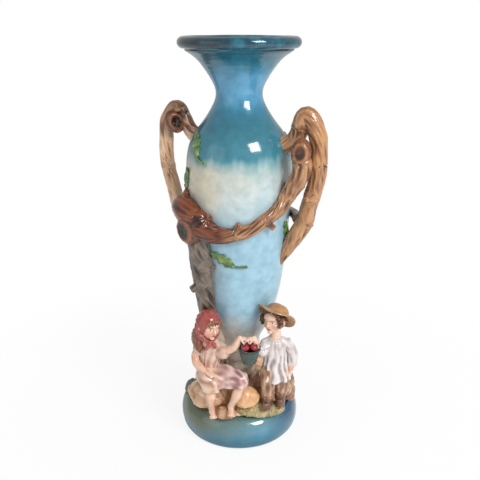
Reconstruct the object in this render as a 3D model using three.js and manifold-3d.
// A tall ceramic vase with a trumpet mouth, branch handles and two child figures on a rocky foot.
// Millimetres, +Z up, origin at the centre of the resting face, front of the vase towards -Y.
import * as THREE from "three";
import { mergeVertices } from "three/addons/utils/BufferGeometryUtils.js";
import Module from "manifold-3d";

const wasm = await Module();
wasm.setup();

// Clay
const wall = 5;
const floorThickness = 8;
const seam = 0.3;

// Foot
const plinthHeight = 34;
const footRadius = 61;
const plinthRadius = 66.5;
const footRingWidth = 10;
const footRecess = 3;
const moundHeight = 26;
const moundInset = 8.5;

// Outline of the vase from the foot up: the radius at each station and its rise over the one below
const stemRadius = 19;
const stemTopRadius = 25;
const stemTopRise = 40;
const lowerBodyRadius = 43;
const lowerBodyRise = 62;
const waistRadius = 50;
const waistRise = 63;
const bellyRadius = 54;
const bellyRise = 63;
const shoulderRadius = 49;
const shoulderRise = 34;
const collarRadius = 35.5;
const collarRise = 19;
const neckBaseRadius = 25;
const neckBaseRise = 17;
const neckRadius = 23.5;
const neckRise = 15;
const flareRadius = 40;
const flareRise = 25.5;
const lipRadius = 59;
const lipWidth = 12;
const lipRise = 10;
const lipDepth = 11.5;

// Branch work
const handleTurn = THREE.MathUtils.degToRad(-24);
const handleSpread = 83.6;
const handleRise = 27.5;
const leftLimbRadius = 7.6;
const rightLimbRadius = 8.6;
const boughRadius = 8;
const trunkRadius = 11;
const burlRadius = 12;
const twigRadius = 4.2;
const leafLength = 24;
const leafWidth = 13;
const leafThickness = 5;

// Figures, whose small places and girths are told off in head radii
const headRadius = 13;
const seatRise = 14;
const torsoLength = 37;
const legLength = 37.5;
const soleLift = 14;
const headLift = 23.5;
const hipRadius = 13;
const waistGirth = 11.5;
const chestRadius = 11.5;
const neckGirth = 7;
const tunicHem = 16.5;
const thighRadius = 9;
const kneeRadius = 7.5;
const shinRadius = 5.2;
const bootRadius = 5.8;
const sleeveRadius = 5.8;
const armRadius = 4.8;
const basketRadius = 9.5;
const basketHeight = 16;
const basketDrop = 19;
const fruitRadius = 4.4;

// Glaze colours
const looks = {
  teal: { color: 0x3f8796, roughness: 0.16 },
  darkTeal: { color: 0x24505c, roughness: 0.16 },
  neckBlue: { color: 0x6fb0cf, roughness: 0.14 },
  cream: { color: 0xcfd3c6, roughness: 0.18 },
  paleBlue: { color: 0xa6d4e8, roughness: 0.16 },
  bark: { color: 0x80583d, roughness: 0.32 },
  darkBark: { color: 0x4b2c1c, roughness: 0.32 },
  tanBark: { color: 0xb98a66, roughness: 0.3 },
  leaf: { color: 0x56703f, roughness: 0.25 },
  rock: { color: 0xb99b7c, roughness: 0.35 },
  ochre: { color: 0xe3b078, roughness: 0.25 },
  olive: { color: 0x56583a, roughness: 0.35 },
  brownRock: { color: 0x8a6852, roughness: 0.35 },
  skin: { color: 0xe2bfa8, roughness: 0.25 },
  auburn: { color: 0x7d4426, roughness: 0.3 },
  redCloth: { color: 0xb3544f, roughness: 0.25 },
  mauve: { color: 0x9e6f78, roughness: 0.25 },
  blouse: { color: 0xe4d0c6, roughness: 0.22 },
  white: { color: 0xeee8e2, roughness: 0.2 },
  brownCloth: { color: 0x7d5a44, roughness: 0.3 },
  basket: { color: 0x35504c, roughness: 0.3 },
  fruit: { color: 0x963a48, roughness: 0.2 },
};

// Solids

function toSolid(geometry) {
  const bare = geometry.clone();
  bare.deleteAttribute("normal");
  bare.deleteAttribute("uv");
  const merged = mergeVertices(bare, 1e-3);
  const index = merged.index.array;
  const triangles = [];
  for (let i = 0; i < index.length; i += 3) {
    const [a, b, c] = [index[i], index[i + 1], index[i + 2]];
    if (a !== b && b !== c && c !== a) {
      triangles.push(a, b, c);
    }
  }
  const vertProperties = new Float32Array(merged.attributes.position.array);
  const mesh = new wasm.Mesh({ numProp: 3, vertProperties, triVerts: new Uint32Array(triangles) });
  return new wasm.Manifold(mesh);
}

function toGeometry(solid) {
  const mesh = solid.getMesh();
  const geometry = new THREE.BufferGeometry();
  geometry.setAttribute("position", new THREE.Float32BufferAttribute(mesh.vertProperties, 3));
  geometry.setIndex(new THREE.Uint32BufferAttribute(mesh.triVerts, 1));
  geometry.computeVertexNormals();
  return geometry;
}

// A cut can leave crumbs behind, and the piece is the largest lump of clay
function largestLump(solid) {
  const lumps = solid.decompose();
  return lumps.reduce((best, lump) => (lump.volume() > best.volume() ? lump : best), lumps[0]);
}

// A profile of [radius, height] pairs turned about the Z axis
function turned(profile, segments = 32) {
  const points = profile.map(([radius, height]) => new THREE.Vector2(radius, height));
  return toSolid(new THREE.LatheGeometry(points, segments).rotateX(Math.PI / 2));
}

// A round bar along a curve, thick or thin as its radii say, each end rounded by a small ring and a tip
function bar(places, radii, { grow = 0, sides = 8, steps = 10, knobby = 0 } = {}) {
  const curve = new THREE.CatmullRomCurve3(places.map((place) => new THREE.Vector3(...place)));
  const radiusAt = (t) => {
    const span = t * (radii.length - 1);
    const first = Math.min(Math.floor(span), radii.length - 2);
    return THREE.MathUtils.lerp(radii[first], radii[first + 1], span - first) + grow;
  };
  const rounding = 0.72;
  const stops = Array.from({ length: steps + 1 }, (_, step) => ({ t: step / steps, past: 0, share: 1 }));
  stops.unshift({ t: 0, past: -rounding, share: rounding });
  stops.push({ t: 1, past: rounding, share: rounding });

  const heading = curve.getTangent(0);
  const upright = Math.abs(heading.z) > 0.9 ? new THREE.Vector3(0, 1, 0) : new THREE.Vector3(0, 0, 1);
  const side = new THREE.Vector3().crossVectors(upright, heading).normalize();
  const over = new THREE.Vector3().crossVectors(heading, side);
  const turn = new THREE.Quaternion();
  const points = [curve.getPoint(0).addScaledVector(heading, -radiusAt(0))];
  for (const { t, past, share } of stops) {
    const tangent = curve.getTangent(t);
    turn.setFromUnitVectors(heading, tangent);
    side.applyQuaternion(turn);
    over.applyQuaternion(turn);
    heading.copy(tangent);
    const centre = curve.getPoint(t).addScaledVector(heading, past * radiusAt(t));
    for (let i = 0; i < sides; i++) {
      const angle = (2 * Math.PI * i) / sides;
      const knob = 1 + knobby * Math.sin(3 * angle + 9 * t) * Math.sin(17 * t);
      const reach = radiusAt(t) * share * knob;
      points.push(centre.clone()
        .addScaledVector(side, Math.cos(angle) * reach)
        .addScaledVector(over, Math.sin(angle) * reach));
    }
  }
  points.push(curve.getPoint(1).addScaledVector(heading, radiusAt(1)));

  const last = points.length - 1;
  const index = [];
  for (let i = 0; i < sides; i++) {
    const next = (i + 1) % sides;
    index.push(0, 1 + next, 1 + i);
    for (let low = 1; low < last - sides; low += sides) {
      const high = low + sides;
      index.push(low + i, low + next, high + i, low + next, high + next, high + i);
    }
    index.push(last, last - sides + i, last - sides + next);
  }
  const geometry = new THREE.BufferGeometry().setFromPoints(points);
  geometry.setIndex(index);
  return toSolid(geometry);
}

// An egg of three half-axes, tilted by Euler angles and lumpy where asked
function egg(centre, halves, { grow = 0, tilt = [0, 0, 0], lumps = 0, phase = 0, detail = 11 } = {}) {
  const geometry = new THREE.SphereGeometry(1, detail, Math.round(detail * 0.7));
  const position = geometry.attributes.position;
  const point = new THREE.Vector3();
  for (let i = 0; i < position.count; i++) {
    point.fromBufferAttribute(position, i);
    const wave = Math.sin(3.1 * point.x + phase) * Math.sin(2.7 * point.y - phase)
      + Math.sin(4.3 * point.z + 2 * phase);
    point.multiplyScalar(1 + lumps * wave);
    point.multiply(new THREE.Vector3(halves[0] + grow, halves[1] + grow, halves[2] + grow));
    position.setXYZ(i, point.x, point.y, point.z);
  }
  geometry.applyMatrix4(new THREE.Matrix4().makeRotationFromEuler(new THREE.Euler(...tilt)));
  return toSolid(geometry.translate(...centre));
}

// Vase wall

const moundRadius = plinthRadius - moundInset;
const seatHeight = plinthHeight + moundHeight;
const stemTopHeight = seatHeight + stemTopRise;
const lowerBodyHeight = stemTopHeight + lowerBodyRise;
const waistHeight = lowerBodyHeight + waistRise;
const bellyHeight = waistHeight + bellyRise;
const shoulderHeight = bellyHeight + shoulderRise;
const collarHeight = shoulderHeight + collarRise;
const neckBaseHeight = collarHeight + neckBaseRise;
const neckHeight = neckBaseHeight + neckRise;
const flareHeight = neckHeight + flareRise;
const lipBottom = flareHeight + lipRise;
const lipTop = lipBottom + lipDepth;

const outline = new THREE.SplineCurve([
  new THREE.Vector2(stemRadius, seatHeight),
  new THREE.Vector2(stemTopRadius, stemTopHeight),
  new THREE.Vector2(lowerBodyRadius, lowerBodyHeight),
  new THREE.Vector2(waistRadius, waistHeight),
  new THREE.Vector2(bellyRadius, bellyHeight),
  new THREE.Vector2(shoulderRadius, shoulderHeight),
  new THREE.Vector2(collarRadius, collarHeight),
  new THREE.Vector2(neckBaseRadius, neckBaseHeight),
  new THREE.Vector2(neckRadius, neckHeight),
  new THREE.Vector2(flareRadius, flareHeight),
  new THREE.Vector2(lipRadius - lipWidth / 3, lipBottom),
]).getPoints(220);

function wallRadius(height) {
  let i = 1;
  while (i < outline.length - 1 && outline[i].y < height) {
    i++;
  }
  const [low, high] = [outline[i - 1], outline[i]];
  return THREE.MathUtils.mapLinear(height, low.y, high.y, low.x, high.x);
}

// The wall is as thick across its slope as it is where it stands upright
function boreRadius(height) {
  const slope = (wallRadius(height + 1) - wallRadius(height - 1)) / 2;
  return wallRadius(height) - wall * Math.hypot(1, Math.min(Math.abs(slope), 1.5));
}

function heightsBetween(low, high, count) {
  return Array.from({ length: count + 1 }, (_, i) => THREE.MathUtils.lerp(low, high, i / count));
}

// The thrown sections from the foot up, joined between the stations, with the steps in their outlines
const stemJoint = THREE.MathUtils.lerp(stemTopHeight, lowerBodyHeight, 0.32);
const bodyJoint = THREE.MathUtils.lerp(lowerBodyHeight, waistHeight, 0.68);
const bellyJoint = THREE.MathUtils.lerp(bellyHeight, shoulderHeight, 0.47);
const flareJoint = THREE.MathUtils.lerp(neckHeight, flareHeight, 0.43);
const sections = [
  { name: "stem_cup", look: "paleBlue", low: seatHeight, high: stemJoint, steps: 5 },
  { name: "lower_body", look: "paleBlue", low: stemJoint, high: bodyJoint, steps: 5 },
  { name: "belly_wall", look: "cream", low: bodyJoint, high: bellyJoint, steps: 5 },
  { name: "shoulder_wall", look: "teal", low: bellyJoint, high: neckBaseHeight, steps: 6 },
  { name: "neck_wall", look: "neckBlue", low: neckBaseHeight, high: flareJoint, steps: 4 },
  { name: "mouth_flare", look: "teal", low: flareJoint, high: lipBottom, steps: 5 },
];

function sectionHeights({ low, high, steps }) {
  return heightsBetween(low + seam / 2, high - seam / 2, steps);
}

function wallSection(section) {
  const heights = sectionHeights(section);
  const outside = heights.map((height) => [wallRadius(height), height]);
  if (section.low > seatHeight) {
    const inside = heights.map((height) => [boreRadius(height), height]).reverse();
    return turned([...outside, ...inside, outside[0]]);
  }
  const bottom = heights[0];
  const floor = bottom + floorThickness;
  const inside = heightsBetween(floor, heights.at(-1), section.steps - 1)
    .map((height) => [boreRadius(height), height]).reverse();
  return turned([[0, bottom], ...outside, ...inside, [0, floor]]);
}

function lipRoll() {
  const middle = lipRadius - lipWidth / 2;
  const bottom = lipBottom + seam;
  const half = (lipTop - bottom) / 2;
  const points = [];
  const count = 10;
  for (let i = 0; i < count; i++) {
    const angle = (2 * Math.PI * (i + 0.5)) / count;
    points.push([middle + (lipWidth / 2) * Math.sin(angle), bottom + half - half * Math.cos(angle)]);
  }
  for (const [i, height] of [[0, bottom], [4, lipTop], [5, lipTop], [9, bottom]]) {
    points[i][1] = height;
  }
  return turned([...points, points[0]]);
}

// The space that the vase takes up, inside and out
function vaseForm(grow) {
  const heights = sections.flatMap(sectionHeights);
  const side = heights.map((height) => [wallRadius(height) + grow, height]);
  return turned([[0, heights[0]], ...side, [0, heights.at(-1)]]);
}

// Foot

function footPlinth(grow) {
  const bulge = plinthRadius - footRadius;
  const profile = [
    [footRadius + grow, 0],
    [footRadius + 0.64 * bulge + grow, 0.12 * plinthHeight],
    [footRadius + 0.86 * bulge + grow, 0.26 * plinthHeight],
    [plinthRadius + grow, 0.47 * plinthHeight],
    [footRadius + 0.73 * bulge + grow, 0.68 * plinthHeight],
    [footRadius + 0.27 * bulge + grow, 0.84 * plinthHeight],
    [moundRadius + 0.1 * bulge + grow, 0.97 * plinthHeight + grow],
    [moundRadius - 0.64 * bulge, plinthHeight + grow],
    [0, plinthHeight + grow],
  ];
  const recess = footRadius - footRingWidth;
  return turned([[0, footRecess], [recess - footRecess, footRecess], [recess, 0], ...profile]);
}

function rockMound(grow) {
  const foot = plinthHeight + seam;
  const profile = [
    [0, foot],
    [0.9 * moundRadius + grow, foot],
    [0.88 * moundRadius + grow, foot + 0.15 * moundHeight],
    [0.74 * moundRadius + grow, foot + 0.5 * moundHeight],
    [0.53 * moundRadius + grow, foot + 0.84 * moundHeight + grow],
    [0.43 * moundRadius, seatHeight + grow],
    [0, seatHeight + grow],
  ];
  return turned(profile, 28);
}

// A place on the wall: an angle from the front towards +X, a height and a distance out from the wall
function onWall(degrees, height, out) {
  const angle = THREE.MathUtils.degToRad(degrees);
  const radius = wallRadius(height) + out;
  return [radius * Math.sin(angle), -radius * Math.cos(angle), height];
}

// A place in the plane of the handles: a signed reach from the axis, a height and a step forward
function inHandlePlane(reach, height, forward = 0) {
  const x = reach * Math.cos(handleTurn) + forward * Math.sin(handleTurn);
  const y = reach * Math.sin(handleTurn) - forward * Math.cos(handleTurn);
  return [x, y, height];
}

function besideWall(side, out, height, forward = 0) {
  return inHandlePlane(side * (wallRadius(height) + out), height, forward);
}

function times(length, shares) {
  return shares.map((share) => share * length);
}

// Branch work

const handleTop = shoulderHeight + handleRise;

// How far out a limb's centre line runs, so that both handles spread equally far seen from the front
function limbReach(radius) {
  return (handleSpread - radius) / Math.cos(handleTurn);
}

// The right limb rises steeper from the shoulder and meets the wall higher up than the left one
function handleLimb(side, r, grow) {
  const reach = limbReach(r);
  const [rise, crown, foot] = side < 0
    ? [besideWall(side, 1.1 * r, shoulderHeight + 0.8 * r), 1.9, [
      besideWall(side, 2.5 * r, waistHeight + 2.4 * r),
      besideWall(side, 0.95 * r, waistHeight - 1.6 * r),
      besideWall(side, 0.25 * r, lowerBodyHeight + 4 * r),
      besideWall(side, -0.3 * r, lowerBodyHeight + 1.6 * r),
    ]]
    : [besideWall(side, 1.25 * r, shoulderHeight + 0.45 * r), 1.6, [
      besideWall(side, 2.2 * r, waistHeight + 2.4 * r),
      besideWall(side, 1.05 * r, waistHeight),
      besideWall(side, 0.2 * r, waistHeight - 1.7 * r),
      besideWall(side, -0.45 * r, waistHeight - 3.1 * r),
    ]];
  const places = [
    besideWall(side, -1.5 * r, shoulderHeight - 0.6 * r),
    rise,
    inHandlePlane(side * (reach - crown * r), handleTop),
    inHandlePlane(side * (reach - 0.3 * r), handleTop - 1.7 * r),
    inHandlePlane(side * reach, shoulderHeight - 0.6 * r),
    inHandlePlane(side * reach, bellyHeight + 0.6 * r),
    inHandlePlane(side * (reach - 0.95 * r), bellyHeight - 3.2 * r),
    ...foot,
  ];
  const radii = times(r, [1.15, 0.95, 1.1, 1.05, 1, 1, 1, 1, 1.05, 0.85, 0.55]);
  return bar(places, radii, { grow, steps: 20, knobby: 0.07 });
}

function crossingBough(grow) {
  const r = boughRadius;
  const places = [
    besideWall(-1, 1.75 * r, waistHeight + 1.8 * r, 0.75 * r),
    onWall(-88, waistHeight + 3.4 * r, 0.95 * r),
    onWall(-64, waistHeight + 4.4 * r, 0.9 * r),
    onWall(-48, waistHeight + 3.4 * r, 0.8 * r),
    onWall(-33, waistHeight + 2.25 * r, 0.6 * r),
    onWall(-17.6, waistHeight + 1.8 * r, 0.45 * r),
    onWall(4.8, waistHeight + 2.3 * r, 0.45 * r),
    onWall(21.5, waistHeight + 3.3 * r, 0.45 * r),
    onWall(38.8, waistHeight + 4.6 * r, 0.55 * r),
    onWall(51, bellyHeight - 1.6 * r, 0.75 * r),
    besideWall(1, 2 * r, bellyHeight + 0.8 * r, 2.2 * r),
    besideWall(1, 2.35 * r, shoulderHeight - 1.9 * r, 1.75 * r),
  ];
  const radii = times(r, [0.9, 1.15, 1.5, 1.65, 1.3, 0.9, 0.75, 0.75, 0.8, 0.95, 1.1, 1.1]);
  return bar(places, radii, { grow, steps: 22, knobby: 0.06 });
}

function treeTrunk(grow) {
  const r = trunkRadius;
  const places = [
    onWall(-47, waistHeight + 0.8 * r, 0.4 * r),
    onWall(-46, waistHeight - 0.5 * r, 0.4 * r),
    onWall(-46, lowerBodyHeight + 3.9 * r, 0.35 * r),
    onWall(-46, lowerBodyHeight + 2.4 * r, 0.3 * r),
    onWall(-47, lowerBodyHeight, 0.3 * r),
    onWall(-50, stemTopHeight + 3.6 * r, 0.3 * r),
    onWall(-51, stemTopHeight, 0.4 * r),
    onWall(-57, seatHeight + 0.75 * r, 0.9 * r),
  ];
  return bar(places, times(r, [1.05, 1.1, 1, 0.95, 0.88, 0.8, 0.82, 1.02]), { grow, steps: 15, knobby: 0.07 });
}

function backBough(grow) {
  const r = twigRadius;
  const places = [
    besideWall(-1, 2.6 * r, waistHeight + 1.7 * r, -1.2 * r),
    onWall(-122, waistHeight, 0.6 * r),
    onWall(-150, waistHeight - 2 * r, 0.5 * r),
    onWall(178, waistHeight - 0.7 * r, 0.5 * r),
    onWall(148, waistHeight + 2.6 * r, 0.5 * r),
    besideWall(1, 2.6 * r, waistHeight + 5 * r, -1.2 * r),
  ];
  return bar(places, times(r, [1.4, 1.2, 1, 1, 1.2, 1.4]), { grow, steps: 13, sides: 7, knobby: 0.06 });
}

function leaf(degrees, height, lean, grow) {
  const geometry = new THREE.SphereGeometry(1, 8, 6);
  geometry.scale(leafThickness / 2 + grow, leafWidth / 2 + grow, leafLength / 2 + grow);
  geometry.rotateX(THREE.MathUtils.degToRad(lean));
  geometry.rotateZ(THREE.MathUtils.degToRad(degrees - 90));
  return toSolid(geometry.translate(...onWall(degrees, height, 0.3 * leafThickness)));
}

// A stone on the foot, its place and size told off in mound radii
function stone(across, back, height, halves, phase, grow) {
  const r = moundRadius;
  return egg([across * r, back * r, height], times(r, halves), { grow, lumps: 0.05, phase, detail: 10 });
}

// Places of the figures
function above([x, y, z], rise) {
  return [x, y, z + rise];
}

function beside([x, y, z], right, back, up) {
  return [x + right * headRadius, y + back * headRadius, z + up * headRadius];
}

const neckRiseToHead = headLift - 1.45 * headRadius;
const seatTop = seatHeight + seatRise;
const leftHeadHeight = seatTop + 0.6 * hipRadius + torsoLength + headLift;
const leftHead = onWall(-32.4, leftHeadHeight, 1.5 * headRadius);
const leftShoulders = beside(above(leftHead, -headLift), 0.1, 0.35, 0);
const leftHip = beside(above(leftShoulders, -torsoLength), -0.1, 0.25, 0);

const rightSoleHeight = plinthHeight + soleLift;
const rightHead = onWall(39.5, rightSoleHeight + legLength + torsoLength + headLift, 1.35 * headRadius);
const rightShoulders = beside(above(rightHead, -headLift), 0.08, 0, 0);
const rightHip = beside(above(rightShoulders, -torsoLength), 0.08, -0.08, 0);
const rightSoles = above(rightHip, -legLength);

const midway = new THREE.Vector3(...leftShoulders).lerp(new THREE.Vector3(...rightShoulders), 0.54);
const hands = [midway.x, midway.y - 0.8 * headRadius, leftShoulders[2] + 0.8 * headRadius];
const basketMiddle = beside(above(hands, -basketDrop), 0.3, 0, 0);
const basketRim = above(basketMiddle, basketHeight / 2);

// A place on the way from a shoulder to the hands that carry the basket
function towardsHands(shoulders, share, back, up) {
  const place = new THREE.Vector3(...shoulders).lerp(new THREE.Vector3(...hands), share);
  return beside(place.toArray(), 0, back, up);
}

// The pieces in the order in which they claim their room: each later one is cut back from the
// earlier ones with a seam between them

const rows = [];

function add(name, look, shape) {
  rows.push({ name, look, shape });
}

add("vase_form", null, (grow) => vaseForm(grow));
add("foot_plinth", "teal", (grow) => footPlinth(grow));
add("rock_mound", "rock", (grow) => rockMound(grow));
add("left_handle", "tanBark", (grow) => handleLimb(-1, leftLimbRadius, grow));
add("right_handle", "tanBark", (grow) => handleLimb(1, rightLimbRadius, grow));
add("crossing_bough", "bark", (grow) => crossingBough(grow));
add("tree_trunk", "bark", (grow) => treeTrunk(grow));
add("back_bough", "bark", (grow) => backBough(grow));

// Knots and lopped ends
add("trunk_knot", "darkBark", (grow) => egg(
  onWall(-50, waistHeight + 2.1 * boughRadius, 0.85 * boughRadius + 0.4 * burlRadius),
  times(burlRadius, [1.15, 0.85, 1.35]), { grow, tilt: [0, -0.6, -0.8], lumps: 0.05, phase: 1 }));
add("right_knot", "darkBark", (grow) => egg(
  besideWall(1, 2.5 * boughRadius, shoulderHeight - 0.5 * boughRadius, 2.1 * boughRadius),
  times(burlRadius, [0.8, 0.6, 1.15]), { grow, tilt: [0, 0.1, -0.3], lumps: 0.03, phase: 2 }));
add("left_knot", "darkBark", (grow) => egg(
  inHandlePlane(2.05 * leftLimbRadius - limbReach(leftLimbRadius), handleTop - 1.6 * leftLimbRadius,
    1.15 * leftLimbRadius),
  times(burlRadius, [0.8, 0.6, 1.05]), { grow, tilt: [0, -0.5, 0.4], lumps: 0.03, phase: 3 }));

add("leaf_left_shoulder", "leaf", (grow) => leaf(-58, shoulderHeight, 35, grow));
add("leaf_left_belly", "leaf", (grow) => leaf(-72, bellyHeight, -30, grow));
add("leaf_right_shoulder", "leaf", (grow) => leaf(100, shoulderHeight - 0.2 * leafLength, -40, grow));
add("leaf_right_belly", "leaf", (grow) => leaf(66, waistHeight + 0.45 * leafLength, 40, grow));
add("leaf_front", "leaf", (grow) => leaf(-20, waistHeight - 0.55 * leafLength, 60, grow));
add("leaf_back_left", "leaf", (grow) => leaf(-140, waistHeight + 0.45 * leafLength, 50, grow));
add("leaf_back_right", "leaf", (grow) => leaf(162, waistHeight - 0.9 * leafLength, -50, grow));

// Rocks and moss
add("left_seat_rock", "rock", (grow) => stone(-0.55, -0.55, seatTop - 0.33 * moundRadius,
  [0.43, 0.36, 0.33], 0.4, grow));
add("right_rock", "rock", (grow) => stone(0.66, -0.4, seatTop - 0.28 * moundRadius,
  [0.4, 0.31, 0.345], 1.7, grow));
add("back_rock", "rock", (grow) => stone(0.07, 0.62, seatHeight - 0.07 * moundRadius,
  [0.52, 0.31, 0.29], 2.9, grow));
add("front_boulder", "ochre", (grow) => stone(0.11, -0.86, plinthHeight + 0.4 * moundRadius,
  [0.26, 0.18, 0.21], 2.1, grow));
add("left_stone", "olive", (grow) => stone(-0.88, -0.21, plinthHeight + 0.12 * moundRadius,
  [0.17, 0.26, 0.22], 0.9, grow));
add("right_stone", "brownRock", (grow) => stone(0.9, -0.26, plinthHeight + 0.14 * moundRadius,
  [0.17, 0.24, 0.19], 1.3, grow));
add("front_stone", "brownRock", (grow) => stone(-0.26, -0.9, plinthHeight + 0.1 * moundRadius,
  [0.22, 0.14, 0.14], 0.2, grow));
add("front_moss", "leaf", (grow) => stone(0.38, -0.8, plinthHeight + 0.12 * moundRadius,
  [0.43, 0.2, 0.15], 1.1, grow));

// Left figure, seated on its rock
add("left_torso", "blouse", (grow) => bar(
  [beside(leftHip, 0, 0, -0.45), above(leftHip, 0.4 * torsoLength),
    beside(leftShoulders, 0, 0.08, -0.55), above(leftShoulders, neckRiseToHead)],
  [hipRadius, waistGirth, chestRadius, neckGirth], { grow, sides: 10, steps: 6 }));
add("left_head", "skin", (grow) => egg(leftHead, times(headRadius, [0.9, 1, 1.08]), { grow }));
add("left_kerchief", "redCloth", (grow) => egg(beside(leftHead, -0.08, 0.28, -0.1),
  times(headRadius, [1.1, 0.95, 1.28]), { grow, tilt: [-0.2, 0, 0] }));
add("left_hair", "auburn", (grow) => bar(
  [beside(leftHead, -0.7, 0.15, -0.25), beside(leftHead, -0.85, 0.15, -1),
    beside(leftHead, -0.77, 0.15, -1.85)],
  times(headRadius, [0.5, 0.46, 0.3]), { grow, steps: 4 }));
add("left_near_thigh", "mauve", (grow) => bar(
  [beside(leftHip, 0.55, -0.3, 0.1), beside(leftHip, 1.6, -0.85, 0.3), beside(leftHip, 2.45, -1.25, 0.1)],
  [1.1 * thighRadius, thighRadius, kneeRadius], { grow, steps: 5, sides: 9 }));
add("left_far_thigh", "mauve", (grow) => bar(
  [beside(leftHip, -0.3, -0.3, 0), beside(leftHip, -0.1, -1, 0.1), beside(leftHip, 0.15, -1.4, -0.25)],
  [1.1 * thighRadius, thighRadius, kneeRadius], { grow, steps: 5, sides: 9 }));
add("left_near_shin", "skin", (grow) => bar(
  [beside(leftHip, 2.45, -1.4, -0.45), beside(leftHip, 2.1, -1.55, -1.3), beside(leftHip, 1.7, -1.3, -2.3),
    beside(leftHip, 1.45, -1.6, -2.7)], times(shinRadius, [1.04, 1, 0.73, 0.8]), { grow, steps: 7 }));
add("left_far_shin", "skin", (grow) => bar(
  [beside(leftHip, 0.15, -1.55, -0.7), beside(leftHip, 0.1, -1.55, -1.55), beside(leftHip, 0.15, -1.3, -2.45),
    beside(leftHip, 0.25, -1.6, -2.85)], times(shinRadius, [1.04, 1, 0.73, 0.8]), { grow, steps: 7 }));
add("left_resting_arm", "skin", (grow) => bar(
  [beside(leftShoulders, -0.85, 0.15, -0.3), beside(leftShoulders, -1.25, 0.05, -1.05),
    beside(leftHip, -1.05, -0.5, 1.15), beside(leftHip, -0.47, -1.15, 0.78)],
  [sleeveRadius, armRadius, 0.9 * armRadius, 0.88 * armRadius], { grow, steps: 7 }));
add("left_raised_arm", "skin", (grow) => bar(
  [beside(leftShoulders, 0.77, -0.15, -0.25), towardsHands(leftShoulders, 0.53, -0.1, -0.6),
    towardsHands(leftShoulders, 0.78, -0.12, -0.38), hands],
  [sleeveRadius, armRadius, 0.9 * armRadius, 0.92 * armRadius], { grow, steps: 7 }));

// Right figure, standing
add("right_tunic", "white", (grow) => bar(
  [beside(rightHip, 0, 0.08, 0.15), above(rightHip, 0.4 * torsoLength),
    beside(rightShoulders, 0, 0, -0.6), above(rightShoulders, neckRiseToHead)],
  [tunicHem, 1.13 * waistGirth, chestRadius, neckGirth], { grow, sides: 12, steps: 7 }));
add("right_head", "skin", (grow) => egg(rightHead, times(headRadius, [0.92, 1, 1.08]), { grow }));
add("right_hair", "auburn", (grow) => egg(beside(rightHead, 0.32, 0.3, 0.15),
  times(headRadius, [1.4, 1.05, 1.05]), { grow, tilt: [-0.3, 0, 0] }));
add("right_near_leg", "brownCloth", (grow) => bar(
  [beside(rightHip, -0.6, -0.4, 0.15), beside(rightHip, -0.6, -0.5, -1),
    beside(rightSoles, -0.6, -0.4, 0.81)],
  times(thighRadius, [0.95, 0.78, 0.62]), { grow, steps: 4 }));
add("right_far_leg", "brownCloth", (grow) => bar(
  [beside(rightHip, 0.5, 0.05, 0.15), beside(rightHip, 0.5, 0, -1), beside(rightSoles, 0.48, 0.12, 0.81)],
  times(thighRadius, [0.95, 0.78, 0.62]), { grow, steps: 4 }));
add("right_near_boot", "darkBark", (grow) => bar(
  [beside(rightSoles, -0.58, -0.4, 0.75), beside(rightSoles, -0.62, -0.6, 0.4),
    beside(rightSoles, -0.72, -0.95, 0.27)], times(bootRadius, [1.03, 0.97, 0.76]), { grow, steps: 4 }));
add("right_far_boot", "darkBark", (grow) => bar(
  [beside(rightSoles, 0.46, 0.1, 0.75), beside(rightSoles, 0.44, -0.1, 0.4),
    beside(rightSoles, 0.42, -0.5, 0.27)], times(bootRadius, [1.03, 0.97, 0.76]), { grow, steps: 4 }));
add("right_hanging_arm", "white", (grow) => bar(
  [beside(rightShoulders, 0.92, 0.15, -0.3), beside(rightShoulders, 1.4, 0.15, -1.15),
    beside(rightShoulders, 1.4, -0.15, -2.15), beside(rightShoulders, 0.92, -0.7, -2.85)],
  [1.14 * sleeveRadius, sleeveRadius, 1.08 * armRadius, 0.92 * armRadius], { grow, steps: 7 }));
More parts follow.
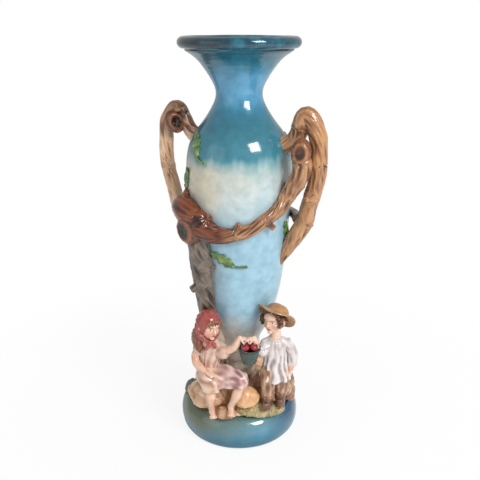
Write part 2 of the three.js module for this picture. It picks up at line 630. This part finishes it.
add("right_raised_arm", "white", (grow) => bar(
  [beside(rightShoulders, -0.77, -0.25, -0.3), towardsHands(rightShoulders, 0.5, -0.25, -0.95),
    towardsHands(rightShoulders, 0.68, -0.2, -0.65), beside(hands, 0.7, 0, -0.1)],
  [1.14 * sleeveRadius, sleeveRadius, 1.08 * armRadius, 0.92 * armRadius], { grow, steps: 7 }));

// Basket of fruit that the two carry
add("basket_bowl", "basket", (grow) => turned([
  [0, -basketHeight / 2 - grow],
  [0.7 * basketRadius + grow, -basketHeight / 2 - grow],
  [basketRadius + grow, 0],
  [1.16 * basketRadius + grow, basketHeight / 2 + grow],
  [0, basketHeight / 2 + grow],
], 16).translate(basketMiddle));
const withe = 0.19 * basketRadius;
const archRise = basketDrop - 0.5 * basketHeight - 2.7 * withe;
add("basket_handle", "basket", (grow) => bar(
  [-1, -0.65, 0, 0.65, 1].map((share) => [
    basketRim[0] + 0.9 * share * basketRadius,
    basketRim[1],
    basketRim[2] + 0.8 * withe + archRise * (1 - share * share),
  ]), [withe, withe], { grow, steps: 10, sides: 6 }));
const fruitPlaces = [[0.5, -0.3], [-0.45, -0.4], [0, 0.5]];
fruitPlaces.forEach(([across, back], i) => {
  const place = [basketRim[0] + across * basketRadius, basketRim[1] + back * basketRadius,
    basketRim[2] + 0.7 * fruitRadius];
  add(`fruit_${i + 1}`, "fruit", (grow) => egg(place, times(fruitRadius, [1, 1, 1]), { grow, detail: 8 }));
});

// Assembly

const vase = new THREE.Group();

function addMesh(name, look, solid) {
  const mesh = new THREE.Mesh(toGeometry(solid), new THREE.MeshStandardMaterial(looks[look]));
  mesh.name = name;
  vase.add(mesh);
}

for (const section of sections) {
  addMesh(section.name, section.look, wallSection(section));
}
addMesh("lip_roll", "darkTeal", lipRoll());

rows.forEach(({ name, look, shape }, i) => {
  if (!look) {
    return;
  }
  let solid = shape(0);
  for (const earlier of rows.slice(0, i)) {
    solid = solid.subtract(earlier.shape(seam));
  }
  addMesh(name, look, largestLump(solid));
});

export default vase;
